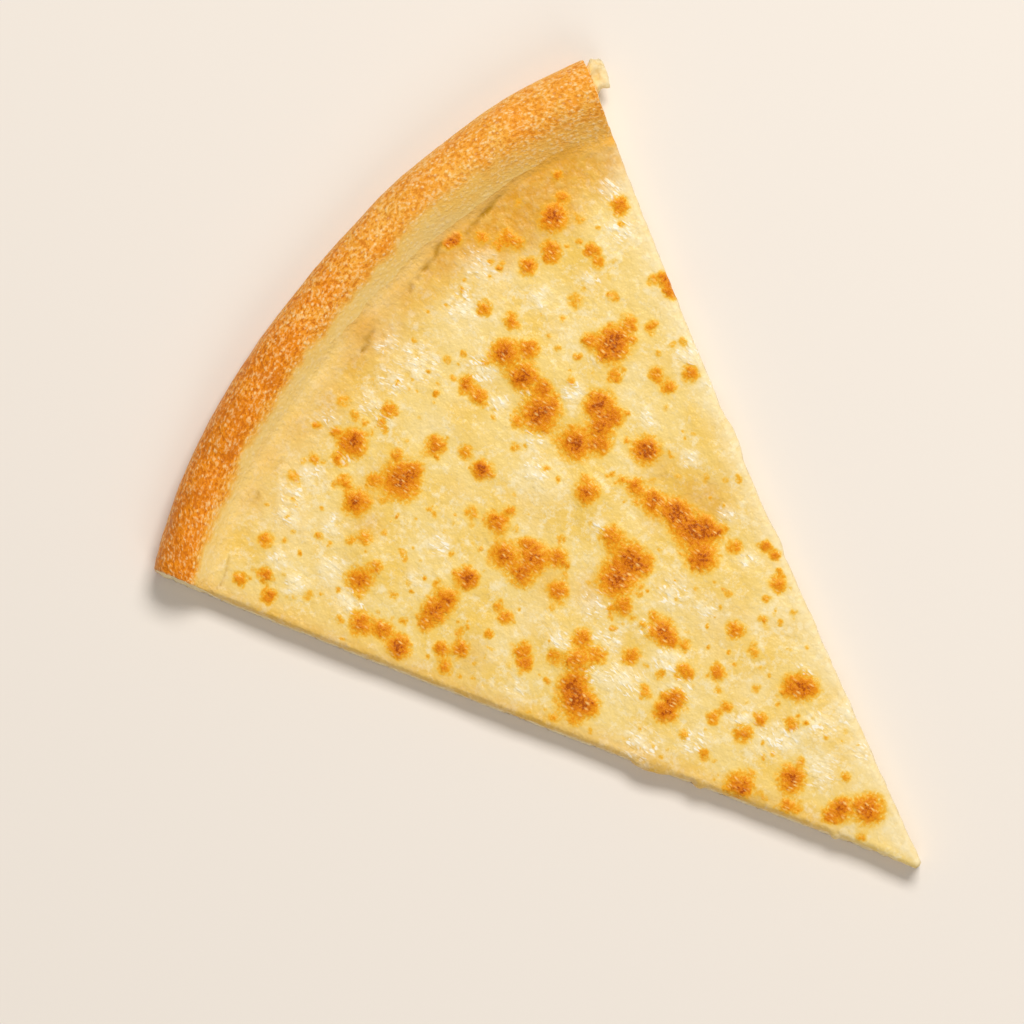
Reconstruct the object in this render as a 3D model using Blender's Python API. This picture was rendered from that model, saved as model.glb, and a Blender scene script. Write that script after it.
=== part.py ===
# Cheese pizza slice: an eighth of an 18 inch thin-crust pizza, baked without sauce.
# Metres, +Z up. The tip points along -Y and the rim of the crust lies at +Y.
# The origin is on the surface the slice lies on, under the middle of its outline box.

import math

import bmesh
import bpy
from mathutils import Matrix, Vector, noise

# Plan of the slice, seen from above
CUT_ANGLE = math.radians(46.25)  # between the two cut sides
LEFT_REACH = 0.2222  # from the sharp point to the rim's outer edge, at the -X side
RIGHT_REACH = 0.2372  # the same at the +X side
LEFT_RIM_WIDTH = 0.0208  # from the foot of the rim's inner slope to its outer edge
RIGHT_RIM_WIDTH = 0.0280
LEFT_BOW = 0.0012  # how far the left side swings towards -X, halfway along
RIGHT_BOW = 0.0022  # the same on the right side
TIP_BLUNT = 0.0018  # how much of the sharp point is missing
REACH_BULGE = 0.0011  # how much fuller the outer edge is between the cuts
REACH_WANDER = 0.0005  # unevenness of the outer edge
BOW_LEAN = 1.25  # above 1, the bow of the sides is nearer to the rim than to the tip
CUT_WANDER = 0.00025  # unevenness of the cut sides

# Heights
BASE_HEIGHT = 0.0045  # dough under the cheese
LEFT_RIM_HEIGHT = 0.0135
RIGHT_RIM_HEIGHT = 0.0175
NOSE_HEIGHT = 0.0062  # where the rim's outer wall stands out furthest
CROWN_SHARE = 0.34  # place of the rim's highest line, as a share of its width from outside
FOOT_INSET = 0.0050  # from the outer edge to where the rim leaves the ground
RIM_SWELL = 0.0011  # slow rise and fall of the crown
RIM_BLISTER = 0.00045  # small blisters on the rim

# Cheese
CHEESE_HEIGHT = 0.0029
CUT_LIP = 0.75  # thickness at the cut sides, as a share of the full thickness
RIM_LIP = 0.30  # thickness where it ends on the rim's slope, as a share of the full one
CHEESE_CLIMB = 0.0028  # how far it reaches up the slope, in plan
CLIMB_WANDER = 0.0016
RIM_LIP_LENGTH = 0.0060  # distance over which it thins towards the rim
CHEESE_SWELL = 0.00055  # slow waves in the melted surface
CHEESE_RIPPLE = 0.00022  # smaller ripples
LAYER_GAP = 0.0003

# Larger blisters of the cheese: across (-1 left, 1 right), along (0 tip, 1 rim edge), radius
BLISTERS = (
    (0.62, 0.42, 0.0075),
    (-0.05, 0.50, 0.0070),
    (-0.28, 0.63, 0.0070),
    (-0.50, 0.52, 0.0065),
    (0.10, 0.66, 0.0075),
    (0.22, 0.62, 0.0065),
    (-0.62, 0.80, 0.0060),
    (0.33, 0.82, 0.0060),
    (-0.10, 0.10, 0.0055),
    (0.28, 0.22, 0.0055),
)
BLISTER_HEIGHT = 0.0008

# Melted cheese that hangs over the cut sides: side, place along it, half length, reach
DRIPS = (
    (-1, 0.352, 0.0048, 0.0010),
    (-1, 0.290, 0.0030, 0.0006),
    (-1, 0.115, 0.0016, 0.0008),
    (1, 0.540, 0.0050, 0.0008),
    (1, 0.410, 0.0030, 0.0006),
)

# Torn crumb that sticks out of the right cut, low down near the rim's outer edge
CRUMB_ALONG = 0.2308
CRUMB_SIZE = Vector((0.0034, 0.0042, 0.0028))
CRUMB_STAND_OUT = 0.0006
CRUMB_HEIGHT = 0.0058

# Fineness of the solids
RIM_COLUMNS = 60
CROWN_STEPS = 13
SLOPE_STEPS = 8
UNDER_STEPS = 4
SIDE_ROWS = 26
TIP_STEPS = 5
CHEESE_CUTS = 57
SHARP_ANGLE = math.radians(40)

HALF_ANGLE = CUT_ANGLE / 2


def between(low, high, share):
    return low + (high - low) * share


def rise(share):
    """0 at 0 and 1 at 1, level at both ends."""
    share = min(1.0, max(0.0, share))
    return share * share * (3 - 2 * share)


def wander(x, y, z, wavelength):
    """Smooth noise from about -1 to 1, the same on every run."""
    return noise.noise(Vector((x, y, z)) / wavelength)


def across_share(across):
    return (across + 1) / 2


def outer_reach(across):
    share = across_share(across)
    bulge = math.sin(math.pi * share) + 0.5 * math.sin(3 * math.pi * share)
    plain = between(LEFT_REACH, RIGHT_REACH, share) + REACH_BULGE * bulge
    return plain + REACH_WANDER * wander(across * 0.1, 0.31, 0.0, 0.022)


def rim_width(across):
    plain = between(LEFT_RIM_WIDTH, RIGHT_RIM_WIDTH, across_share(across))
    return plain + REACH_WANDER * wander(across * 0.1, 0.73, 0.0, 0.018)


def rim_height(across):
    plain = between(LEFT_RIM_HEIGHT, RIGHT_RIM_HEIGHT, across_share(across))
    return plain + RIM_SWELL * wander(across * 0.1, 0.17, 0.0, 0.026)


def plan_point(across, reach):
    """The place in plan at a share across the slice and a distance from its sharp point."""
    turn = across * HALF_ANGLE
    along = min(reach / outer_reach(across), 1.0) ** BOW_LEAN
    bow = between(LEFT_BOW, RIGHT_BOW, across_share(across)) * math.sin(math.pi * along)
    cut = abs(across) ** 8 * CUT_WANDER * wander(reach, across, 0.0, 0.007)
    turned_out = math.copysign(cut, across)
    return Vector((
        reach * math.sin(turn) - bow + turned_out * math.cos(turn),
        reach * math.cos(turn) - turned_out * math.sin(turn),
    ))


def base_colour(name, colour, roughness):
    material = bpy.data.materials.new(name)
    material.use_nodes = True
    shader = material.node_tree.nodes["Principled BSDF"]
    shader.inputs["Base Color"].default_value = (*colour, 1.0)
    shader.inputs["Roughness"].default_value = roughness
    shader.inputs["Metallic"].default_value = 0.0
    material.diffuse_color = (*colour, 1.0)
    return material


def new_object(name, bm, material):
    mesh = bpy.data.meshes.new(name)
    bm.to_mesh(mesh)
    bm.free()
    mesh.materials.append(material)
    mesh.shade_smooth()
    mesh.set_sharp_from_angle(angle=SHARP_ANGLE)
    obj = bpy.data.objects.new(name, mesh)
    bpy.context.scene.collection.objects.link(obj)
    return obj


# The rim is turned about the sharp point of the slice: its section is a polyline of
# (zone, share of the way, height share), and each column stretches it to its own sizes.


def rim_outline():
    """The rim's section, from the foot of its inner slope over the crown to the ground."""
    outline = []
    for step in range(SLOPE_STEPS):
        share = step / SLOPE_STEPS
        outline.append(("slope", share, rise(share)))
    for step in range(CROWN_STEPS):
        turn = math.pi / 2 * step / CROWN_STEPS
        outline.append(("crown", math.sin(turn), math.cos(turn)))
    for step in range(UNDER_STEPS + 1):
        turn = math.pi / 2 * step / UNDER_STEPS
        outline.append(("under", 1 - math.cos(turn), 1 - math.sin(turn)))
    return outline


def rim_place(zone, share, height_share, across):
    """Distance from the sharp point, and height, of one outline point in one column."""
    outer = outer_reach(across)
    width = rim_width(across)
    high = rim_height(across)
    crown = outer - width * CROWN_SHARE
    if zone == "slope":
        return between(outer - width, crown, share), between(BASE_HEIGHT, high, height_share)
    if zone == "crown":
        return between(crown, outer, share), between(NOSE_HEIGHT, high, height_share)
    return outer - FOOT_INSET * share, NOSE_HEIGHT * height_share


def blistered(place, height_share):
    """A rim point raised or sunk by the small blisters of its baked skin."""
    swell = wander(*place, 0.009) + 0.6 * wander(*place, 0.0045)
    lift = RIM_BLISTER * height_share * swell
    return place + Vector((0, 0.4 * lift, lift))


def spin_rim(bm):
    """The rim's skin. Gives its points by column, from the left cut, and outline row."""
    outline = rim_outline()
    # Each point stands at the height of its row number, so that it is known after the spin.
    first = [bm.verts.new((1, 0, row)) for row in range(len(outline))]
    edges = [bm.edges.new(pair) for pair in zip(first, first[1:])]
    start = Matrix.Rotation(HALF_ANGLE, 3, "Z")
    bmesh.ops.rotate(bm, verts=first, cent=(0, 0, 0), matrix=start)
    bmesh.ops.spin(
        bm, geom=first + edges, cent=(0, 0, 0), axis=(0, 0, 1),
        angle=-CUT_ANGLE, steps=RIM_COLUMNS, use_merge=False, use_duplicate=False,
    )
    columns = [[None] * len(outline) for _ in range(RIM_COLUMNS + 1)]
    for vert in bm.verts:
        turn = math.atan2(vert.co.y, vert.co.x)
        columns[round((HALF_ANGLE - turn) / CUT_ANGLE * RIM_COLUMNS)][round(vert.co.z)] = vert
    for number, column in enumerate(columns):
        across = 2 * number / RIM_COLUMNS - 1
        for vert, (zone, share, height_share) in zip(column, outline):
            reach, height = rim_place(zone, share, height_share, across)
            place = Vector((*plan_point(across, reach), height))
            vert.co = place if zone == "under" else blistered(place, height_share)
    return columns


def side_edge(bm, across, height, reach):
    """Points along one cut, from the blunt tip to just short of the given reach."""
    places = [
        plan_point(across, between(TIP_BLUNT, reach, row / SIDE_ROWS))
        for row in range(SIDE_ROWS)
    ]
    return [bm.verts.new((*place, height)) for place in places]


def tip_edge(bm, height):
    """Points round the blunt tip, without its two corners."""
    places = [plan_point(2 * step / TIP_STEPS - 1, TIP_BLUNT) for step in range(1, TIP_STEPS)]
    return [bm.verts.new((*place, height)) for place in places]


def make_dough(material):
    bm = bmesh.new()
    columns = spin_rim(bm)
    sides = {}
    for across, column in ((-1, columns[0]), (1, columns[-1])):
        slope_foot = outer_reach(across) - rim_width(across)
        ground = outer_reach(across) - FOOT_INSET
        over = side_edge(bm, across, BASE_HEIGHT, slope_foot) + [column[0]]
        under = side_edge(bm, across, 0.0, ground) + [column[-1]]
        sides[across] = (over, under)
        for row in range(SIDE_ROWS):
            bm.faces.new((over[row], over[row + 1], under[row + 1], under[row]))
        bm.faces.new(column)
    for level, row, height in ((0, 0, BASE_HEIGHT), (1, -1, 0.0)):
        left = sides[-1][level]
        right = sides[1][level]
        arc = [column[row] for column in columns[1:-1]]
        tip = tip_edge(bm, height)
        sides["tip", level] = [left[0], *tip, right[0]]
        bm.faces.new(left + arc + right[::-1] + tip[::-1])
    over = sides["tip", 0]
    under = sides["tip", 1]
    for step in range(TIP_STEPS):
        bm.faces.new((over[step], over[step + 1], under[step + 1], under[step]))
    bmesh.ops.recalc_face_normals(bm, faces=bm.faces)
    return new_object("dough", bm, material)


def make_crumb():
    """The lump of torn crumb, as a cutter shape that the dough is joined with."""
    bm = bmesh.new()
    bmesh.ops.create_icosphere(bm, subdivisions=2, radius=1.0)
    for vert in bm.verts:
        lump = 1 + 0.28 * noise.noise(vert.co * 1.7 + Vector((4, 1, 7)))
        vert.co = vert.co * lump
    across = 1.0
    root = plan_point(across, CRUMB_ALONG)
    outwards = Vector((math.cos(HALF_ANGLE), -math.sin(HALF_ANGLE)))
    place = root + outwards * CRUMB_STAND_OUT
    bmesh.ops.scale(bm, vec=CRUMB_SIZE, verts=bm.verts)
    bmesh.ops.rotate(
        bm, verts=bm.verts, cent=(0, 0, 0), matrix=Matrix.Rotation(-HALF_ANGLE, 3, "Z")
    )
    bmesh.ops.translate(bm, verts=bm.verts, vec=(*place, CRUMB_HEIGHT))
    crumb = new_object("torn_crumb", bm, bpy.data.materials["dough"])
    crumb.hide_render = True
    crumb.display_type = "WIRE"
    return crumb


def join_crumb(dough, crumb):
    join = dough.modifiers.new("torn_crumb", "BOOLEAN")
    join.operation = "UNION"
    join.solver = "EXACT"
    join.object = crumb


# The cheese is one big triangle, divided evenly, bent to the slice's plan, laid on the
# dough and given thickness.


def dough_top(across, reach):
    """Height of the dough under the cheese, on the level part and low on the rim's slope."""
    outer = outer_reach(across)
    width = rim_width(across)
    foot = outer - width
    crown = outer - width * CROWN_SHARE
    share = (reach - foot) / (crown - foot)
    return between(BASE_HEIGHT, rim_height(across), rise(share))


def cheese_reach(across):
    climb = CHEESE_CLIMB + CLIMB_WANDER * wander(across * 0.1, 0.57, 0.0, 0.014)
    return outer_reach(across) - rim_width(across) + climb


def cheese_place(across, reach):
    """Place in plan of a cheese point, drips over the cut sides included."""
    hang = 0.0
    for side, middle, half_length, depth in DRIPS:
        if side * across > 0.999:
            off = (reach - middle * outer_reach(across)) / half_length
            hang += depth * math.exp(-off * off)
    turn = across * HALF_ANGLE
    outwards = math.copysign(hang, across)
    return plan_point(across, reach) + Vector((math.cos(turn), -math.sin(turn))) * outwards


def blister_lift(place):
    lift = 0.0
    for across, along, radius in BLISTERS:
        middle = plan_point(across, along * cheese_reach(across))
        off = (place - middle).length / radius
        lift += BLISTER_HEIGHT * math.exp(-off * off)
    return lift


def cheese_thickness(place, across, reach):
    """Full inside, a little less at the cuts, and thin where it ends on the rim's slope."""
    from_rim = (cheese_reach(across) - reach) / RIM_LIP_LENGTH
    thick = CHEESE_HEIGHT * between(RIM_LIP, 1.0, rise(from_rim))
    at_cut = abs(across) > 0.999 or reach < TIP_BLUNT + 1e-6
    if at_cut:
        thick *= CUT_LIP
    swell = CHEESE_SWELL * wander(*place, 0.4, 0.021)
    ripple = CHEESE_RIPPLE * wander(*place, 0.9, 0.008)
    return thick + (swell + ripple + blister_lift(place)) * rise(from_rim) * (0.5 if at_cut else 1.0)


def make_cheese(material):
    bm = bmesh.new()
    corners = [bm.verts.new(co) for co in ((0, 0, 0), (1, 1, 0), (-1, 1, 0))]
    bm.faces.new(corners)
    bmesh.ops.subdivide_edges(bm, edges=bm.edges, cuts=CHEESE_CUTS, use_grid_fill=True)
    grid = {}
    for vert in bm.verts:
        along = vert.co.y
        across = vert.co.x / along if along > 1e-6 else 0.0
        reach = between(TIP_BLUNT, cheese_reach(across), along)
        place = cheese_place(across, reach)
        under = dough_top(across, reach) + LAYER_GAP
        vert.co = Vector((*place, under))
        grid[tuple(vert.co)] = cheese_thickness(place, across, reach)
    sheet = list(bm.faces)
    raised = bmesh.ops.extrude_face_region(bm, geom=sheet)["geom"]
    for item in raised:
        if isinstance(item, bmesh.types.BMVert):
            item.co.z += grid[tuple(item.co)]
    bmesh.ops.recalc_face_normals(bm, faces=bm.faces)
    return new_object("cheese", bm, material)


def centre_on_origin(objects):
    """Moves the finished meshes so that the outline box stands centred on the origin."""
    bpy.context.view_layer.update()
    graph = bpy.context.evaluated_depsgraph_get()
    corners = []
    for obj in objects:
        mesh = obj.evaluated_get(graph).to_mesh()
        corners += [vert.co.copy() for vert in mesh.vertices]
    low = [min(corner[axis] for corner in corners) for axis in range(3)]
    high = [max(corner[axis] for corner in corners) for axis in range(3)]
    shift = Vector((-(low[0] + high[0]) / 2, -(low[1] + high[1]) / 2, -low[2]))
    return Matrix.Translation(shift)


def main():
    for obj in list(bpy.data.objects):
        bpy.data.objects.remove(obj)
    dough_skin = base_colour("dough", (0.84, 0.52, 0.22), 0.75)
    melted = base_colour("cheese", (0.90, 0.70, 0.36), 0.35)
    dough = make_dough(dough_skin)
    crumb = make_crumb()
    join_crumb(dough, crumb)
    cheese = make_cheese(melted)
    shift = centre_on_origin([dough, cheese])
    for obj in (dough, crumb, cheese):
        obj.data.transform(shift)


main()
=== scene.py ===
import math

import bmesh
import bpy
import numpy as np
from mathutils import Matrix, Vector, noise


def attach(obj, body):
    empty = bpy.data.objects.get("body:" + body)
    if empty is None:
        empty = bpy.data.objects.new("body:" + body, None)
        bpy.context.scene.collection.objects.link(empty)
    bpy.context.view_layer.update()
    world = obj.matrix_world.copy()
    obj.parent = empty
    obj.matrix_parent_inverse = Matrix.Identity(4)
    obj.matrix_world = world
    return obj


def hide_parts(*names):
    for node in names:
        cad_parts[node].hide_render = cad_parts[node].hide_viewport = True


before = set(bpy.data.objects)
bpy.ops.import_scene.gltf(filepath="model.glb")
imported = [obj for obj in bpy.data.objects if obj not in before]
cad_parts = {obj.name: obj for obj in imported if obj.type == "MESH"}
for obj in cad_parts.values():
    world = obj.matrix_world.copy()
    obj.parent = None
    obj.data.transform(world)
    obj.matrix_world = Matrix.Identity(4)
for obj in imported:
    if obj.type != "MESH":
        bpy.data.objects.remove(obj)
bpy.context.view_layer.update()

# Plan and heights of the slice, in metres, the same as in the solids
plan = {
    "sharpPoint": (-0.003832, -0.116504),  # where the two cut sides would meet
    "cutAngle": math.radians(46.25),
    "leftReach": 0.2222, "rightReach": 0.2372,
    "leftRimWidth": 0.0208, "rightRimWidth": 0.0280,
    "leftBow": 0.0012, "rightBow": 0.0022, "bowLean": 1.25,
    "tipBlunt": 0.0018,
    "reachBulge": 0.0011, "reachWander": 0.0005, "cutWander": 0.00025,
    "baseHeight": 0.0045,
    "leftRimHeight": 0.0135, "rightRimHeight": 0.0175, "rimSwell": 0.0011,
    "crownShare": 0.34,
    "cheeseHeight": 0.0029,
    "cheeseSwell": 0.00055, "cheeseRipple": 0.00022,
}
halfAngle = plan["cutAngle"] / 2

# How the picture lies over the plan: metres to a pixel, turn, and the pixel of the origin
picture = {"pixel": 0.0002696, "turn": math.radians(45.77), "originX": 622.5, "originY": 558.4}

# Pixels along the line where the wet cheese ends on the rim's slope
wetEdge = (
    (217, 591), (231, 544), (243, 522), (257, 500), (282, 461), (363, 348), (367, 340),
    (411, 287), (424, 271), (437, 247), (471, 227), (505, 195), (560, 162), (612, 152),
)

# Folds, in pixels too: from, to, half width and strength. Their dark colour is painted shade in the
# creases.
folds = (
    (505, 194, 486, 207, 1.5, 0.6), (498, 199, 470, 228, 2.0, 1.0), (487, 213, 474, 226, 1.4, 0.6),
    (474, 226, 466, 236, 1.6, 0.7), (441, 243, 434, 258, 2.2, 1.0), (434, 258, 421, 273, 1.9, 0.8),
    (421, 273, 417, 280, 1.4, 0.6), (412, 285, 409, 296, 1.7, 0.6), (371, 337, 362, 352, 2.2, 0.9),
    (374, 330, 368, 340, 1.4, 0.6), (283, 459, 277, 470, 1.6, 0.3), (260, 492, 254, 504, 1.8, 0.4),
    (231, 556, 226, 574, 0.9, 0.5), (226, 574, 218, 592, 1.0, 0.6),
)
foldShape = {
    "wander": 0.0007, "wanderLength": 0.0030, "patchLength": 0.0022,
    "narrowest": 0.7, "widening": 0.8,  # shares of the half width
}


def between(low, high, share):
    return low + (high - low) * share


def rise(share):
    share = np.clip(share, 0.0, 1.0)
    return share * share * (3 - 2 * share)


# Smooth noise, about -1 to 1, at each row of an array of points
def noiseAt(points, wavelength, offset=(0, 0, 0)):
    shifted = np.asarray(points) / wavelength + np.asarray(offset)
    return np.array([noise.noise(Vector(point)) for point in shifted])


def levelled(points, height=0.0):
    return np.column_stack([points[:, :2], np.full(len(points), height)])


# The slow noise that the solids have along the rim
def wanderLine(across, level, wavelength):
    points = np.column_stack([across * 0.1, np.full_like(across, level), np.zeros_like(across)])
    return noiseAt(points, wavelength)


samples = np.linspace(-1.05, 1.05, 421)  # across the slice, -1 and 1 at the cuts
onCut = 0.999  # points farther across than this lie on a cut


def outerReachLine(across):
    share = (across + 1) / 2
    bulge = np.sin(np.pi * share) + 0.5 * np.sin(3 * np.pi * share)
    plain = between(plan["leftReach"], plan["rightReach"], share) + plan["reachBulge"] * bulge
    return plain + plan["reachWander"] * wanderLine(across, 0.31, 0.022)


rimLines = {
    "outer": outerReachLine(samples),
    "width": between(plan["leftRimWidth"], plan["rightRimWidth"], (samples + 1) / 2)
    + plan["reachWander"] * wanderLine(samples, 0.73, 0.018),
    "height": between(plan["leftRimHeight"], plan["rightRimHeight"], (samples + 1) / 2)
    + plan["rimSwell"] * wanderLine(samples, 0.17, 0.026),
}


def rimLine(name, across):
    return np.interp(across, samples, rimLines[name])


def sideBow(across, reach):
    along = np.clip(reach / rimLine("outer", across), 0, 1) ** plan["bowLean"]
    return between(plan["leftBow"], plan["rightBow"], (across + 1) / 2) * np.sin(np.pi * along)


# Places in plan, from the share across the slice and the distance from its sharp point
def planPoints(across, reach):
    turn = across * halfAngle
    flat = np.column_stack([reach, across, np.zeros_like(reach)])
    cut = np.abs(across) ** 8 * plan["cutWander"] * noiseAt(flat, 0.007) * np.sign(across)
    x = reach * np.sin(turn) - sideBow(across, reach) + cut * np.cos(turn)
    y = reach * np.cos(turn) - cut * np.sin(turn)
    return np.column_stack([x, y]) + plan["sharpPoint"]


# The way back, without the unevenness of the cuts
def acrossAndReach(points):
    x = points[:, 0] - plan["sharpPoint"][0]
    y = points[:, 1] - plan["sharpPoint"][1]
    across = np.arctan2(x, y) / halfAngle
    reach = np.hypot(x, y)
    for _ in range(3):
        bow = sideBow(np.clip(across, -1, 1), reach)
        across = np.arctan2(x + bow, y) / halfAngle
        reach = np.hypot(x + bow, y)
    return across, reach


def doughTop(across, reach):
    outer = rimLine("outer", across)
    width = rimLine("width", across)
    share = (reach - outer + width) / (width * (1 - plan["crownShare"]))
    return between(plan["baseHeight"], rimLine("height", across), rise(share))


# The place in plan of a pixel of the picture
def fromPicture(x, y):
    right = (x - picture["originX"]) * picture["pixel"]
    up = (picture["originY"] - y) * picture["pixel"]
    turned = picture["turn"]
    return np.array([
        right * math.cos(turned) + up * math.sin(turned),
        -right * math.sin(turned) + up * math.cos(turned),
    ])


# Share of the length at which a rise has come to a height
def riseBack(height):
    shares = np.linspace(0, 1, 201)
    return np.interp(height, rise(shares), shares)


# The cheese lies level and runs out where the rim's slope stands a little above it
def cheeseEdgeLine():
    climb = (plan["cheeseHeight"] + cheese["climb"]) / (rimLines["height"] - plan["baseHeight"])
    inwards = rimLines["width"] * (1 - (1 - plan["crownShare"]) * riseBack(climb))
    return inwards + 0.0006 * wanderLine(samples, 0.57, 0.008)


# Distance from the rim's outer edge to the line where the wet cheese ends
def wetEdgeLine():
    across, reach = acrossAndReach(np.array([fromPicture(x, y) for x, y in wetEdge]))
    inwards = np.interp(samples, across, rimLine("outer", across) - reach)
    window = np.hanning(23)
    padded = np.pad(inwards, 11, mode="edge")
    return np.convolve(padded, window / window.sum(), mode="valid")


def cheeseReach(across):
    return rimLine("outer", across) - rimLine("cheese", across)


# How deep in a fold each point is, 0 to 1, which also sets the painted shade in the folds
def foldField(points):
    length = foldShape["wanderLength"]
    wander = np.column_stack([noiseAt(points, length, (1, 1, 6)), noiseAt(points, length, (6, 1, 1))])
    place = points[:, :2] + foldShape["wander"] * wander
    patchy = 0.75 + 0.6 * noiseAt(points, foldShape["patchLength"], (2, 2, 2))
    deep = np.zeros(len(points))
    for x0, y0, x1, y1, halfWidth, strength in folds:
        start, end = fromPicture(x0, y0), fromPicture(x1, y1)
        run = end - start
        share = np.clip(((place - start) @ run) / (run @ run), 0, 1)
        off = np.linalg.norm(place - start - share[:, None] * run, axis=1)
        wide = foldShape["narrowest"] + foldShape["widening"] * np.sin(np.pi * share)
        narrow = halfWidth * picture["pixel"] * wide
        deep = np.maximum(deep, strength * np.exp(-(off / narrow) ** 2) * np.clip(patchy, 0, 1))
    return deep


def newMaterial(name, settings):
    material = bpy.data.materials.new(name)
    material.use_nodes = True
    shader = material.node_tree.nodes["Principled BSDF"]
    for socket, value in settings.items():
        shader.inputs[socket].default_value = value
    return material, material.node_tree, shader


def addNode(tree, kind, inputs=None, **settings):
    node = tree.nodes.new("ShaderNode" + kind)
    for name, value in settings.items():
        setattr(node, name, value)
    for name, value in (inputs or {}).items():
        if isinstance(value, bpy.types.NodeSocket):
            tree.links.new(value, node.inputs[name])
        else:
            node.inputs[name].default_value = value
    return node


def attribute(tree, name, output="Fac"):
    return addNode(tree, "Attribute", attribute_name=name).outputs[output]


def objectPlace(tree):
    return addNode(tree, "TexCoord").outputs["Object"]


def noiseValue(tree, place, wavelength, detail=2.0, roughness=0.5, distortion=0.0):
    return addNode(tree, "TexNoise", {
        "Vector": place, "Scale": 1 / wavelength, "Detail": detail,
        "Roughness": roughness, "Distortion": distortion,
    }).outputs["Fac"]


# Round dots, one to a cell and of uneven strength
def dots(tree, place, wavelength, small, large):
    cells = addNode(tree, "TexVoronoi", {"Vector": place, "Scale": 1 / wavelength})
    uneven = remap(tree, cells.outputs["Color"], 0.25, 0.75)
    return times(tree, remap(tree, cells.outputs["Distance"], large, small), uneven)


def remap(tree, value, low, high, toLow=0.0, toHigh=1.0):
    return addNode(tree, "MapRange", {
        "Value": value, "From Min": low, "From Max": high, "To Min": toLow, "To Max": toHigh,
    }, interpolation_type="SMOOTHSTEP").outputs["Result"]


def calc(tree, operation, first, second, clamp=False):
    node = addNode(tree, "Math", {0: first, 1: second}, operation=operation, use_clamp=clamp)
    return node.outputs[0]


def times(tree, first, second):
    return calc(tree, "MULTIPLY", first, second)


def mixColour(tree, share, first, second):
    node = addNode(tree, "Mix", data_type="RGBA")
    for index, value in ((0, share), (6, first), (7, second)):
        if isinstance(value, bpy.types.NodeSocket):
            tree.links.new(value, node.inputs[index])
        elif index == 0:
            node.inputs[index].default_value = value
        else:
            node.inputs[index].default_value = (*value, 1.0)
    return node.outputs[2]


def colourRamp(tree, value, stops):
    ramp = addNode(tree, "ValToRGB", {"Fac": value})
    elements = ramp.color_ramp.elements
    for place, _ in stops[2:]:
        elements.new(place)
    for element, (place, colour) in zip(elements, sorted(stops)):
        element.position = place
        element.color = (*colour, 1.0)
    return ramp.outputs["Color"]


# Bump from a height in metres
def bump(tree, height):
    return addNode(tree, "Bump", {"Height": height, "Strength": 1.0, "Distance": 1.0}).outputs["Normal"]


def addObject(name, data):
    made = bpy.data.objects.new(name, data)
    bpy.context.scene.collection.objects.link(made)
    return made


def meshFrom(bm, name):
    mesh = bpy.data.meshes.new(name)
    bm.to_mesh(mesh)
    bm.free()
    return mesh


def pieceFrom(name, mesh, material, node):
    mesh.materials.clear()
    mesh.materials.append(material)
    piece = addObject(name, mesh)
    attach(piece, "root")
    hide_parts(node)
    return piece


def readPoints(mesh, field="co"):
    flat = np.empty(len(mesh.vertices) * 3)
    mesh.vertices.foreach_get(field, flat)
    return flat.reshape(-1, 3)


def setPoints(mesh, points):
    mesh.vertices.foreach_set("co", np.asarray(points, np.float32).ravel())
    mesh.update()


# Attributes for the materials: shares and places at each point
def setFields(mesh, fields):
    for name, values in fields.items():
        kind, part = ("FLOAT", "value") if values.ndim == 1 else ("FLOAT_VECTOR", "vector")
        layer = mesh.attributes.new(name, kind, "POINT")
        layer.data.foreach_set(part, np.asarray(values, np.float32).ravel())


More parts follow.
